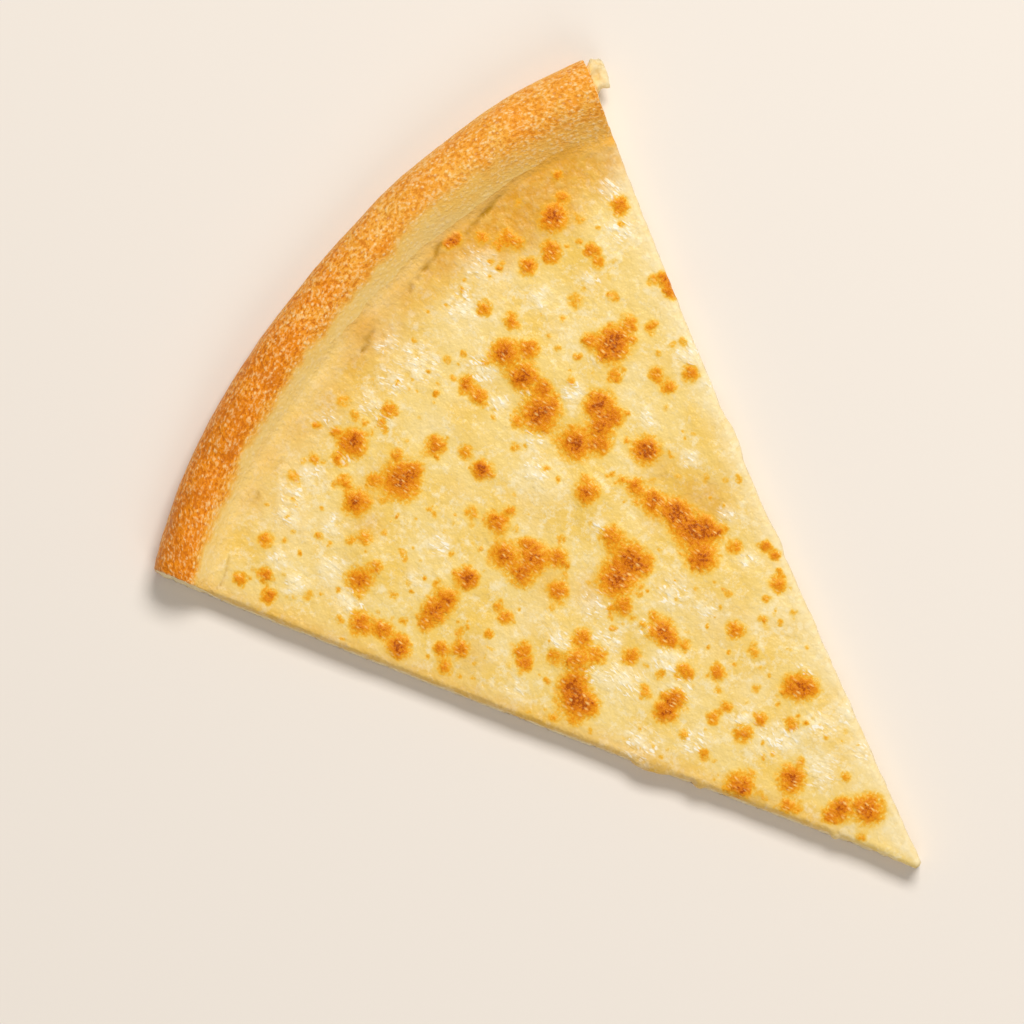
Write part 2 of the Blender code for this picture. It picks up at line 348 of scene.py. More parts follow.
# Browned spots, read off the picture: x, y, radius in pixels, and how dark
spots = {
    "rimSide": (
        (553, 218, 13, 1.0), (550, 253, 10, 0.85), (527, 268, 8, 0.8), (507, 238, 10, 0.6),
        (482, 238, 7, 0.6), (519, 203, 6, 0.4), (557, 176, 6, 0.75), (563, 198, 7, 0.65),
        (579, 220, 5, 0.4), (620, 206, 9, 0.75), (593, 252, 7, 0.65), (599, 265, 6, 0.6),
        (613, 297, 6, 0.4), (651, 280, 5, 0.4), (575, 301, 8, 0.4), (484, 311, 7, 0.7),
        (511, 322, 7, 0.7), (664, 280, 8, 0.8), (671, 290, 8, 0.85), (454, 240, 7, 0.9),
        (450, 245, 6, 0.8), (518, 245, 8, 0.5), (497, 246, 6, 0.4),
    ),
    "twoPatches": (
        (504, 354, 13, 1.0), (529, 350, 9, 0.85), (523, 377, 13, 0.95), (543, 390, 9, 0.8),
        (539, 415, 17, 1.0), (515, 422, 6, 0.5), (552, 406, 8, 0.7),
        (611, 347, 16, 0.95), (618, 338, 8, 0.9), (588, 341, 7, 0.7), (632, 341, 5, 0.6),
        (629, 325, 8, 0.6), (652, 327, 6, 0.6), (682, 343, 5, 0.4), (578, 358, 4, 0.6),
        (656, 375, 8, 0.7), (668, 389, 7, 0.65), (690, 375, 8, 0.75), (615, 378, 7, 0.6),
        (570, 381, 5, 0.4), (467, 386, 9, 0.8), (479, 397, 7, 0.7), (448, 360, 5, 0.4),
        (435, 395, 3, 0.5),
    ),
    "middle": (
        (599, 405, 13, 1.0), (613, 418, 9, 0.85), (600, 427, 12, 0.9), (575, 445, 15, 1.0),
        (599, 445, 10, 0.85), (646, 451, 13, 1.0), (436, 447, 10, 0.75), (466, 453, 7, 0.5),
        (482, 471, 9, 1.0), (515, 448, 5, 0.4), (587, 493, 12, 0.8), (496, 523, 11, 0.75),
        (511, 511, 6, 0.65), (472, 513, 7, 0.4), (353, 444, 13, 1.0), (335, 434, 6, 0.6),
        (338, 459, 6, 0.6), (390, 411, 8, 0.65), (381, 423, 5, 0.5), (356, 416, 5, 0.5),
    ),
    "diagonal": (
        (622, 480, 5, 0.55), (635, 488, 9, 0.75), (652, 502, 11, 0.9), (675, 513, 14, 1.0),
        (690, 531, 16, 1.05), (705, 532, 13, 1.0), (717, 533, 6, 0.75), (701, 560, 13, 1.05),
        (734, 547, 7, 0.6), (764, 547, 7, 0.7), (774, 556, 5, 0.8), (777, 585, 8, 0.65),
        (765, 600, 4, 0.5), (761, 619, 4, 0.5),
        (611, 538, 11, 0.7), (629, 559, 14, 0.95), (616, 580, 17, 1.05), (622, 608, 8, 0.75),
        (640, 566, 10, 0.8),
    ),
    "lower": (
        (504, 556, 13, 0.9), (527, 545, 7, 0.8), (534, 558, 13, 0.85), (522, 574, 12, 0.85),
        (557, 558, 10, 0.8), (558, 592, 10, 0.75), (467, 579, 10, 0.95), (446, 600, 11, 0.9),
        (434, 612, 12, 0.85), (426, 624, 7, 0.6), (506, 619, 7, 0.75), (497, 608, 5, 0.5),
        (488, 634, 5, 0.6), (441, 650, 7, 0.75), (461, 650, 8, 0.85), (459, 632, 5, 0.4),
        (445, 667, 8, 0.65), (523, 651, 9, 0.7), (525, 665, 7, 0.8), (582, 639, 9, 0.7),
        (554, 658, 8, 0.55), (577, 660, 12, 0.7), (572, 685, 12, 1.0), (575, 701, 16, 1.05),
        (597, 656, 9, 0.6), (588, 705, 10, 0.85), (554, 719, 5, 0.5), (572, 722, 4, 0.4),
    ),
    "towardsTip": (
        (630, 656, 9, 0.7), (612, 627, 4, 0.5), (661, 631, 12, 0.85), (668, 640, 8, 0.8),
        (652, 615, 5, 0.5), (684, 646, 6, 0.5), (684, 672, 8, 0.7), (659, 674, 6, 0.4),
        (645, 694, 6, 0.4), (665, 712, 11, 0.95), (674, 700, 9, 0.85), (682, 735, 5, 0.5),
        (640, 728, 3, 0.3), (735, 631, 9, 0.75), (727, 595, 4, 0.4), (753, 653, 6, 0.45),
        (717, 672, 8, 0.75), (707, 648, 3, 0.4), (727, 652, 3, 0.4), (795, 687, 13, 0.8),
        (805, 688, 11, 0.75), (755, 688, 5, 0.35), (718, 690, 5, 0.35), (725, 707, 6, 0.5),
        (760, 718, 7, 0.65), (790, 724, 7, 0.6), (741, 734, 9, 0.7), (712, 717, 6, 0.6),
        (704, 754, 6, 0.6), (806, 649, 3, 0.3), (792, 613, 4, 0.3), (739, 787, 13, 1.0),
        (790, 779, 13, 0.9), (786, 808, 9, 0.7), (750, 771, 5, 0.3), (771, 754, 3, 0.4),
        (762, 756, 3, 0.4), (844, 777, 5, 0.5), (828, 816, 8, 0.8), (839, 808, 10, 0.92),
        (866, 809, 15, 0.9), (859, 838, 6, 0.4),
    ),
    "leftCorner": (
        (344, 402, 7, 0.4), (316, 425, 4, 0.5), (314, 459, 6, 0.45), (294, 477, 7, 0.4),
        (401, 482, 18, 0.95), (397, 456, 6, 0.6), (413, 472, 8, 0.7), (374, 482, 7, 0.6),
        (345, 481, 7, 0.5), (357, 504, 12, 1.0), (365, 538, 8, 0.55), (351, 541, 6, 0.4),
        (320, 537, 4, 0.55), (300, 554, 3, 0.6), (266, 540, 7, 0.65), (360, 580, 13, 0.8),
        (379, 568, 7, 0.55), (241, 580, 7, 0.75), (266, 575, 7, 0.75), (270, 597, 8, 0.8),
        (403, 554, 4, 0.4), (310, 596, 5, 0.35), (393, 596, 5, 0.35), (362, 624, 11, 0.8),
        (383, 630, 9, 0.75), (399, 647, 11, 1.0), (338, 620, 5, 0.45), (295, 597, 3, 0.3),
        (342, 641, 3, 0.45),
    ),
}

# Softly yellowed and shaded places, partly real yellowing and partly painted shade: x, y, radius and
# share
stainsAndShade = (
    (566, 166, 24, 0.95), (540, 180, 24, 0.9), (516, 204, 22, 1.0), (546, 206, 20, 0.95),
    (566, 214, 18, 0.7), (490, 230, 20, 1.0), (514, 228, 18, 0.7), (532, 240, 16, 0.55),
    (462, 238, 18, 0.9), (506, 258, 14, 0.4), (608, 160, 14, 0.5), (600, 186, 12, 0.35),
    (440, 262, 18, 0.7), (402, 292, 16, 0.4), (364, 330, 20, 0.85), (352, 362, 12, 0.4),
    (335, 396, 16, 0.3), (300, 430, 18, 0.3), (268, 458, 18, 0.3), (254, 500, 14, 0.35),
    (714, 510, 16, 0.4), (710, 494, 18, 0.35), (688, 494, 18, 0.45),
    (655, 520, 16, 0.25), (660, 470, 18, 0.35), (592, 590, 18, 0.4),
    (552, 585, 16, 0.35), (368, 528, 15, 0.4), (366, 492, 14, 0.25), (470, 655, 16, 0.35),
    (385, 480, 20, 0.2),
)
# Yellowing and painted shade along the wet cheese's edge at the foot of the rim's slope: places across
# and the shares there
stainAndShadeLine = ((-1, -0.4, 0.0, 0.4, 0.85, 1), (0.08, 0.18, 0.35, 0.50, 0.60, 0.35))

# Softly whitened places: x, y, radius and share
hazes = (
    (300, 526, 24, 0.5), (336, 590, 20, 0.55), (302, 398, 14, 0.3), (302, 462, 14, 0.3),
    (496, 270, 18, 0.5), (494, 302, 16, 0.4), (462, 334, 16, 0.35), (560, 334, 16, 0.4),
    (622, 366, 16, 0.4), (656, 366, 14, 0.35), (624, 398, 14, 0.4), (430, 430, 16, 0.4),
    (560, 434, 14, 0.3), (462, 398, 14, 0.3), (462, 494, 14, 0.3), (528, 494, 18, 0.5),
    (560, 494, 14, 0.35), (528, 526, 14, 0.3), (528, 622, 18, 0.5), (720, 622, 20, 0.55),
    (784, 620, 18, 0.55), (752, 622, 16, 0.4), (784, 590, 14, 0.4), (496, 654, 16, 0.4),
    (720, 654, 14, 0.3), (752, 686, 16, 0.5), (848, 750, 14, 0.45), (852, 784, 12, 0.45),
    (880, 830, 12, 0.4),
)

# The browned band's inner edge, in from the rim's outer edge, and the length over which
# it fades at the left and at the right
rimBand = {
    "width": (0.0118, 0.0132, 0.0130, 0.0190), "softness": (0.0066, 0.0105),
    "straw": (0.0080, 0.0090, 0.0150), "strawShare": (0.16, 0.20, 0.42), "paleAndSheenEdge": 0.0016,
    # the outermost edge is paler: partly less browned dough, partly a painted highlight
    "rightPaler": 0.41, "edgePalerAndHighlight": 0.3,
    "wander": ((0.0014, 0.006), (0.0008, 0.0024)),  # how far, at which wavelength
    "widthAt": (-1, 0.1, 0.5, 1), "strawAt": (-1, 0.1, 1),
}

grainStretch = 0.8  # the rim's grain is a little longer along the rim

# Wet and wrinkled places, where a painted sheen whitens the cheese and painted highlight dashes lie: x,
# y, radius
wetSheenPlaces = (
    (480, 265, 15), (462, 306, 15), (418, 363, 17), (387, 343, 10), (392, 382, 12), (482, 369, 14),
    (386, 420, 9), (370, 404, 9), (498, 404, 9), (344, 456, 8), (327, 422, 9), (647, 419, 7),
    (575, 394, 10), (527, 393, 9), (534, 440, 10), (500, 405, 8), (598, 360, 8), (690, 355, 13),
    (718, 384, 10), (535, 470, 11), (595, 605, 12), (601, 526, 7), (672, 592, 14), (606, 640, 13),
    (622, 678, 18), (592, 672, 14), (667, 662, 12), (678, 690, 13), (741, 720, 12), (783, 736, 13),
    (645, 628, 9), (727, 515, 8), (706, 608, 9), (803, 672, 7), (821, 726, 12), (765, 743, 12),
    (818, 770, 16), (861, 752, 9), (843, 714, 10), (312, 473, 11), (292, 496, 11), (286, 515, 9),
    (335, 527, 10), (278, 560, 8), (297, 583, 10), (353, 603, 12), (332, 568, 11), (610, 190, 9),
    (618, 230, 12), (590, 280, 9), (540, 300, 10), (640, 745, 16), (695, 742, 12),
    (560, 640, 9), (515, 690, 8), (412, 580, 9), (440, 545, 9), (690, 460, 8), (746, 560, 8),
)

# How the top leans in over the two cuts, at the cheese's height, and how far in that reaches
lean = {"left": 0.0009, "right": 0.0003, "height": 0.0074, "length": 0.0040}


def leanInwards(across, reach, height):
    turn = across * halfAngle
    fromLeft, fromRight = (
        reach * np.sin(np.clip(away * halfAngle, 0, 1.5)) for away in (1 + across, 1 - across)
    )
    shift = lean["left"] * rise(1 - fromLeft / lean["length"])
    shift -= lean["right"] * rise(1 - fromRight / lean["length"])
    shift *= np.clip(height / lean["height"], 0, 1) * rise((reach - 0.003) / 0.014)
    return np.column_stack([np.cos(turn), -np.sin(turn)]) * shift[:, None]


cheese = {
    "rows": 396,  # cuts along each side of the grid
    "skirtRows": 5,
    "baseRows": 6, "baseColumns": 40,  # cuts of the underside where it climbs the rim
    "baseFlat": 0.93,  # share of the length over which the underside is level
    "climb": 0.0030, "fillet": 0.0022, "runOut": 0.0050, "sink": 0.00012,
    "bury": 0.00030, "thinnest": 0.00006,
    "edgeRound": 0.0016,  # how far in the top rounds over at the cuts
    "edgeDrop": 0.0009,
    "strata": 0.00016, "strataLength": 0.0014, "belly": 0.00018, "fullWall": 0.0016,
    "streakTurn": math.radians(8),  # wrinkles run this far from the slice's length
    "streakStretch": 2.7, "streakBends": ((0.0024, 0.020), (0.0006, 0.006)),
    "moundLength": 0.0085, "moundRise": 0.00032,
    "wrinkleLength": 0.0060, "wrinkleWidth": 0.0019, "wrinkleRise": 0.00012,
    "fineLength": 0.0024, "fineRise": 0.00005,
    "blisterRise": 0.00034, "blisterGrain": 0.00007, "fullBlister": 0.003,
    "spotBends": ((0.0008, 0.0042), (0.0005, 0.0017)),
    "ragged": 0.00018, "raggedLength": 0.0032,
    "slopeRise": 0.00016, "foldDepth": 0.0006,
    "cutStainAndShade": 0.45, "cutStainLength": 0.0085, "lineStainWidth": 0.0085,
    "wetOffset": 0.001, "dryLength": 0.003,
    "freckles": 380, "freckleSeed": 11, "freckleReach": (0.012, 0.19),
    "freckleRadius": (0.0004, 0.0011), "freckleDark": (0.14, 0.46),
    "drips": (  # side, place along it, half length, reach
        (-1, 0.352, 0.0052, 0.0013), (-1, 0.290, 0.0016, 0.0010), (-1, 0.115, 0.0014, 0.0009),
        (1, 0.540, 0.0050, 0.0008), (1, 0.410, 0.0030, 0.0006),
    ),
    "lumps": (  # larger blisters: across, along, radius
        (0.62, 0.42, 0.0075), (-0.05, 0.50, 0.0070), (-0.28, 0.63, 0.0070),
        (-0.50, 0.52, 0.0065), (0.10, 0.66, 0.0075), (0.22, 0.62, 0.0065),
        (-0.62, 0.80, 0.0060), (0.33, 0.82, 0.0060), (-0.10, 0.10, 0.0055),
        (0.28, 0.22, 0.0055),
    ),
    "lumpRise": 0.0008,
}


# Every spot as place, radius and darkness, with small seeded freckles between them
def spotList():
    found = [
        (*fromPicture(x, y), radius * picture["pixel"], dark)
        for group in spots.values() for x, y, radius, dark in group
    ]
    draw = np.random.default_rng(cheese["freckleSeed"])
    for _ in range(cheese["freckles"]):
        across = draw.uniform(-0.95, 0.95)
        nearest, spread = cheese["freckleReach"]
        reach = nearest + spread * math.sqrt(draw.uniform(0, 1))
        place = planPoints(np.array([across]), np.array([reach]))[0]
        radius = draw.uniform(*cheese["freckleRadius"])
        found.append((*place, radius, draw.uniform(*cheese["freckleDark"])))
    return found


# The points nearer than so many radii to a round place, and their distance in radii
def nearPlace(points, x, y, radius, farthest):
    near = np.flatnonzero(
        (np.abs(points[:, 0] - x) < farthest * radius) & (np.abs(points[:, 1] - y) < farthest * radius)
    )
    return near, np.hypot(points[near, 0] - x, points[near, 1] - y) / radius


# How browned each point is, 0 to about 1, and how much the blisters lift it
def brownField(points):
    def bend(*offsets):
        bends = zip(cheese["spotBends"], offsets)
        return sum(far * noiseAt(points, length, offset) for (far, length), offset in bends)

    place = points[:, :2] + np.column_stack([bend((3, 0, 0), (5, 0, 0)), bend((0, 9, 0), (0, 7, 0))])
    clear = np.ones(len(points))
    lift = np.zeros(len(points))
    for x, y, radius, dark in spotList():
        near, off = nearPlace(place, x, y, radius, 3)
        fading = 0.73 * np.exp(-1.10 * off ** 2.6) + 0.27 * np.exp(-0.60 * off ** 2)
        clear[near] *= 1 - min(dark, 0.98) * fading
        rising = dark * min(1, radius / cheese["fullBlister"]) * np.exp(-1.2 * off ** 2)
        lift[near] = np.maximum(lift[near], rising)
    return 1 - clear, lift


def wetSheenField(points):
    wetAndSheen = np.zeros(len(points))
    for x, y, radius in wetSheenPlaces:
        near, off = nearPlace(points, *fromPicture(x, y), radius * picture["pixel"], 2.5)
        wetAndSheen[near] = np.maximum(wetAndSheen[near], np.exp(-0.8 * off ** 2))
    return wetAndSheen


# Share at each point of soft round places that lie over each other
def placesField(points, places):
    clear = np.ones(len(points))
    for x, y, radius, share in places:
        near, off = nearPlace(points, *fromPicture(x, y), radius * picture["pixel"], 2.5)
        clear[near] *= 1 - share * np.exp(-0.9 * off ** 2)
    return 1 - clear


# Partly real yellowing and partly painted shade, along the lower-left cut, along the wet edge and at
# the listed places
def stainAndShadeField(points, across, cutDistance, reach):
    past = rimLine("wetEdge", across) - rimLine("outer", across) + reach
    off = (past + cheese["wetOffset"]) / cheese["lineStainWidth"]
    along = np.interp(across, *stainAndShadeLine) * np.exp(-off ** 2)
    stained = cheese["cutStainAndShade"] * rise(1 - cutDistance / cheese["cutStainLength"]) * (across < 0)
    stained = np.maximum(stained * rise((reach - 0.015) / 0.02), along)
    return 1 - (1 - stained) * (1 - placesField(points, stainsAndShade))


# The lumps of the rim's slope, the same on both pieces
def slopeLumps(points):
    return noiseAt(levelled(points), 0.0055, (4, 0, 2))


# How browned the rim is, 0 to 1: full over its crown and fading down the slope
def bakeField(across, inwards, points):
    band = np.interp(across, rimBand["widthAt"], rimBand["width"])
    band += sum(far * noiseAt(points, length, (3, 3, 3)) for far, length in rimBand["wander"])
    softness = between(*rimBand["softness"], rise(across))
    bake = 1 - rise((inwards - band + 0.5 * softness) / softness)
    bake *= 1 - rimBand["rightPaler"] * rise((across + 0.5) / 0.9)
    straw = np.interp(across, rimBand["strawAt"], rimBand["straw"])
    share = np.interp(across, rimBand["strawAt"], rimBand["strawShare"])
    bake = np.maximum(bake, share * (1 - rise((inwards - band) / straw)))
    # the outermost edge is paler: partly less browned, partly a painted highlight
    return bake * (1 - rimBand["edgePalerAndHighlight"] * rise(1 - inwards / rimBand["paleAndSheenEdge"]))


# Height of the cheese's own level, with its slow swells and larger blisters
def levelHeight(points):
    own = points[:, :2] - plan["sharpPoint"]
    swell = plan["cheeseSwell"] * noiseAt(levelled(own, 0.4), 0.021)
    ripple = plan["cheeseRipple"] * noiseAt(levelled(own, 0.9), 0.008)
    lump = np.zeros(len(points))
    for lumpAcross, along, radius in cheese["lumps"]:
        lumpReach = along * cheeseReach(np.array([lumpAcross]))
        middle = planPoints(np.array([lumpAcross]), lumpReach)[0]
        off = np.hypot(points[:, 0] - middle[0], points[:, 1] - middle[1]) / radius
        lump += cheese["lumpRise"] * np.exp(-off * off)
    return plan["baseHeight"] + plan["cheeseHeight"] + swell + ripple + lump


# The level and the rim's slope, joined by a soft fillet that thins to nothing
def meltedTop(level, slope, fromEdge):
    over = level - slope
    top = slope + 0.5 * (over + np.sqrt(over ** 2 + cheese["fillet"] ** 2))
    return between(slope - cheese["sink"], top, rise(fromEdge / cheese["runOut"]))


def dripReach(across, reach):
    hang = np.zeros(len(reach))
    for side, middle, halfLength, depth in cheese["drips"]:
        off = np.abs(reach - middle * rimLine("outer", across)) / halfLength
        hang += np.where(side * across > onCut, depth * np.exp(-off ** 3), 0)
    ragged = noiseAt(np.column_stack([reach, across, across * 0]), cheese["raggedLength"])
    return hang + np.where(np.abs(across) > onCut, cheese["ragged"] * ragged, 0)


# Distance along the streaks and, a little bent, across them
def streakFrame(flat):
    turned = cheese["streakTurn"]
    run = flat[:, 0] * math.sin(turned) - flat[:, 1] * math.cos(turned)
    aside = flat[:, 0] * math.cos(turned) + flat[:, 1] * math.sin(turned)
    for far, length in cheese["streakBends"]:
        aside += far * noiseAt(flat, length, (1, 2, 3))
    return run, aside


# The cheese is paler along the right cut and towards the tip: partly paler thin cheese, partly a
# painted sheen
def paleAndSheenEdgeField(across, reach, cutDistance):
    rightCut = rise((0.0095 - cutDistance) / 0.011) * rise(across * 3)
    tip = rise((0.030 - reach) / 0.024) * rise(across + 0.7)
    return np.maximum(rightCut, tip)


# Sorts by place what the operators leave in another order each run
def sortParts(bm):
    def corners(part):
        return sorted(vert.index for vert in part.verts)

    for parts, key in (
        (bm.verts, lambda vert: tuple(vert.co)), (bm.edges, corners), (bm.faces, corners),
    ):
        for index, part in enumerate(sorted(parts, key=key)):
            part.index = index
        parts.sort()


# A fine triangle of faces with walls below its edge, closed underneath.
# Across is x / y, along is y, and a wall's row is -z.
def cheeseGrid():
    bm = bmesh.new()
    corners = [bm.verts.new(place) for place in ((0, 0, 0), (1, 1, 0), (-1, 1, 0))]
    bm.faces.new(corners)
    bmesh.ops.subdivide_edges(bm, edges=bm.edges, cuts=cheese["rows"], use_grid_fill=True)
    rim = [edge for edge in bm.edges if edge.is_boundary]
    for row in range(cheese["skirtRows"]):
        walls = bmesh.ops.extrude_edge_only(bm, edges=rim)["geom"]
        for item in walls:
            if isinstance(item, bmesh.types.BMVert):
                item.co.z = -(row + 1)
        rim = [item for item in walls if isinstance(item, bmesh.types.BMEdge) and item.is_boundary]
    bmesh.ops.contextual_create(bm, geom=rim)

    def cutUnderside(place, direction, nearest):
        under = [
            face for face in bm.faces
            if all(vert.co.z < 0.5 - cheese["skirtRows"] and vert.co.y > nearest for vert in face.verts)
        ]
        parts = dict.fromkeys(part for face in under for part in (*face.edges, *face.verts))
        bmesh.ops.bisect_plane(
            bm, geom=[*under, *parts], dist=1e-7, plane_co=place, plane_no=direction
        )

    for along in np.linspace(cheese["baseFlat"], 1, cheese["baseRows"], endpoint=False):
        cutUnderside((0, along, 0), (0, 1, 0), -1)
    for across in np.linspace(-1, 1, cheese["baseColumns"] + 1)[1:-1]:
        cutUnderside((across, 1, 0), (1, -across, 0), cheese["baseFlat"] - 1e-5)
    bmesh.ops.recalc_face_normals(bm, faces=bm.faces)
    sortParts(bm)
    return meshFrom(bm, "meltedCheese")


def makeCheese(material):
    mesh = cheeseGrid()
    grid = readPoints(mesh)
    along = grid[:, 1]
    across = np.divide(grid[:, 0], along, out=np.zeros(len(grid)), where=along > 1e-6)
    depthShare = -grid[:, 2] / cheese["skirtRows"]
    reach = between(plan["tipBlunt"], cheeseReach(across), along)
    outwards = np.column_stack([np.cos(across * halfAngle), -np.sin(across * halfAngle)])
    side = np.sign(across) * (np.abs(across) > onCut)
    cutDistance = reach * np.sin(np.clip((1 - np.abs(across)) * halfAngle, 0, 1))
    cutDistance = np.minimum(cutDistance, reach - plan["tipBlunt"])
    place = planPoints(across, reach)
    place += outwards * (dripReach(across, reach) * side)[:, None]
    flat = levelled(place)

    brown, lift = brownField(flat)
    wetAndSheen = wetSheenField(flat)
    foldAndShade = foldField(flat)
    run, bent = streakFrame(flat)
    level = np.zeros(len(flat))
    wrinkles = 1 - 2 * np.abs(noiseAt(
        np.column_stack([run / cheese["wrinkleLength"], bent / cheese["wrinkleWidth"], level]), 1.0
    ))
    mounds = noiseAt(np.column_stack([run * 0.8, bent, level]), cheese["moundLength"], (5, 5, 5))
    small = noiseAt(flat, cheese["fineLength"], (2, 2, 2))
    grain = noiseAt(flat, 0.00095, (8, 8, 0)) + 0.6 * noiseAt(flat, 0.0017, (2, 6, 0))

    inwards = rimLine("outer", across) - reach
    dry = rise((rimLine("wetEdge", across) - inwards + cheese["wetOffset"]) / cheese["dryLength"])
    loose = 1 - 0.8 * dry
    calm = (1 - 0.7 * rise(brown * 1.6)) * loose
    inner = rise(cutDistance / 0.002)
    fromEdge = cheeseReach(across) - reach
    slope = doughTop(across, reach)
    top = meltedTop(levelHeight(flat), slope, fromEdge)
    inset = np.clip(1 - cutDistance / cheese["edgeRound"], 0, 1)
    edgeDrop = cheese["edgeDrop"] * (1 - np.sqrt(np.clip(1 - inset ** 2, 0, 1)))
    relief = (
        cheese["moundRise"] * mounds * loose
        + cheese["slopeRise"] * slopeLumps(flat) * dry
        + cheese["wrinkleRise"] * (wrinkles - 0.45) * calm * inner * (0.2 + 0.9 * wetAndSheen)
        + cheese["fineRise"] * small * calm
        + cheese["blisterRise"] * lift * inner
        + cheese["blisterGrain"] * grain * rise((brown - 0.35) * 2.2)
        - cheese["foldDepth"] * foldAndShade
        - edgeDrop
    )
    top += relief * rise(fromEdge / 0.003)
    under = slope - cheese["sink"] - cheese["bury"] * rise(cutDistance / 0.002)
    top = np.maximum(top, under + cheese["thinnest"])

    wall = (depthShare > 0) & (depthShare < 1)
    strata = noiseAt(np.column_stack([flat[:, :2], depthShare * 0.004]), cheese["strataLength"])
    belly = cheese["belly"] * np.sin(np.pi * np.clip(depthShare, 0, 1))
    uneven = np.where(wall, cheese["strata"] * strata + belly, 0)
    uneven *= rise((top - under) / cheese["fullWall"])
    flat[:, :2] += outwards * (uneven * side)[:, None]
    flat[:, 2] = between(top, under, depthShare)
    bake = bakeField(across, inwards, flat)
    around = across * halfAngle * reach * grainStretch
    grainPlace = np.column_stack([around, inwards, flat[:, 2]])
    streakPlace = np.column_stack([bent, run / cheese["streakStretch"], flat[:, 2]])
    flat[:, :2] += leanInwards(across, reach, flat[:, 2])
    setPoints(mesh, flat)
    stainAndShade = stainAndShadeField(flat, across, cutDistance, reach)
    # painted sheen with paler thin cheese along the right cut and tip, and the whitened places
    paleAndSheenEdge = np.maximum(paleAndSheenEdgeField(across, reach, cutDistance), placesField(flat, hazes))
    setFields(mesh, {
        "grainPlace": grainPlace, "streakPlace": streakPlace, "brown": brown, "wetAndSheen": wetAndSheen,
        "foldAndShade": foldAndShade, "dry": dry, "stainAndShade": stainAndShade, "bake": bake, "paleAndSheenEdge": paleAndSheenEdge,
    })
    mesh.shade_smooth()
    print("cheese mesh:", len(mesh.vertices), "points")
    return pieceFrom("meltedCheese", mesh, material, "cheese")


# Colours of the unbrowned ground and of the rim, shared by both pieces
groundLook = {
    "cream": (0.905, 0.665, 0.235), "warm": (0.88, 0.58, 0.125), "pale": (0.95, 0.79, 0.45),
    "slope": (0.91, 0.64, 0.23),
    "straw": (0.92, 0.55, 0.12), "gold": (0.93, 0.405, 0.045), "orange": (0.87, 0.27, 0.009),
    "brown": (0.64, 0.165, 0.008), "fleckAndGlint": (1.0, 0.67, 0.30), "softFleckAndGlint": (0.96, 0.76, 0.42),
    "stainAndShade": (0.725, 0.335, 0.027),
}
groundSizes = {
    "soft": 0.012, "mottle": 0.0030, "rimMottle": 0.0060, "grain": 0.00100, "blister": 0.00110,
}


def groundColour(tree, place):
    look = groundLook
    soft = remap(tree, noiseValue(tree, place, groundSizes["soft"], 2), 0.36, 0.68)
    mottle = noiseValue(tree, place, groundSizes["mottle"], 4, 0.72)
    mottled = remap(tree, mottle, 0.46, 0.68, 0.0, 0.85)
    colour = mixColour(tree, soft, look["cream"], look["warm"])
    return mixColour(tree, mottled, colour, look["pale"])


# Colour and fine height of the dry rim and its slope. Its light flecks sit on the blister tops: partly
# pale crust, partly painted highlights.
def rimColour(tree, place, ground, bake):
    look = groundLook
    mottle = calc(tree, "SUBTRACT", noiseValue(tree, place, groundSizes["rimMottle"], 3, 0.6), 0.5)
    uneven = times(tree, mottle, remap(tree, bake, 0.1, 0.9, 0.1, 0.95))
    toned = calc(tree, "ADD", times(tree, bake, 0.78), uneven, clamp=True)
    browned = colourRamp(tree, toned, [
        (0.0, look["slope"]), (1.0, look["brown"]), (0.20, look["straw"]),
        (0.42, look["gold"]), (0.70, look["orange"]),
    ])
    soft = mixColour(tree, 0.5, ground, look["slope"])
    colour = mixColour(tree, remap(tree, toned, 0.02, 0.24), soft, browned)
    grainPlace = attribute(tree, "grainPlace", "Vector")
    grains = noiseValue(tree, grainPlace, groundSizes["grain"], 2, 0.6, 0.1)
    blisters = dots(tree, grainPlace, groundSizes["blister"], 0.14, 0.50)
    # light flecks on the blister and grain tops: partly pale crust, partly painted highlights
    light = calc(tree, "MAXIMUM", blisters, times(tree, remap(tree, grains, 0.52, 0.66), 0.6))
    fleckAndGlint = mixColour(tree, remap(tree, bake, 0.1, 0.6), look["softFleckAndGlint"], look["fleckAndGlint"])
    fleckGlintShare = times(tree, light, remap(tree, bake, 0.7, 1.0, 1.0, 0.80))
    fleckGlintShare = times(tree, fleckGlintShare, remap(tree, bake, 0.15, 0.5, 0.5, 1.0))
    colour = mixColour(tree, fleckGlintShare, colour, fleckAndGlint)
    deep = times(tree, remap(tree, grains, 0.475, 0.375), remap(tree, bake, 0.2, 0.9, 0.0, 0.92))
    colour = mixColour(tree, deep, colour, look["brown"])
    bumpy = calc(tree, "ADD", grains, times(tree, blisters, 0.12))
    return colour, times(tree, bumpy, remap(tree, bake, 0.0, 0.8, 0.00025, 0.00050))


cheeseSizes = {"haze": 0.0024, "grain": 0.00095, "streak": 0.00090, "glint": 0.00085}
cheeseLook = {
    "sheenWhite": (0.975, 0.87, 0.60), "edgeSheenWhite": (0.955, 0.82, 0.53), "foldAndShade": (0.43, 0.20, 0.003),
    "halo": (0.91, 0.61, 0.14), "yellow": (0.89, 0.47, 0.045), "orange": (0.87, 0.345, 0.012),
    "rust": (0.78, 0.235, 0.007), "brown": (0.63, 0.155, 0.005), "dark": (0.43, 0.085, 0.004),
    "fleckAndGlint": (1.0, 0.62, 0.20), "glint": (1.0, 0.95, 0.80),
    "shader": {"IOR": 1.45, "Specular IOR Level": 0.2, "Specular Tint": (1.0, 0.8, 0.45, 1.0)},
}


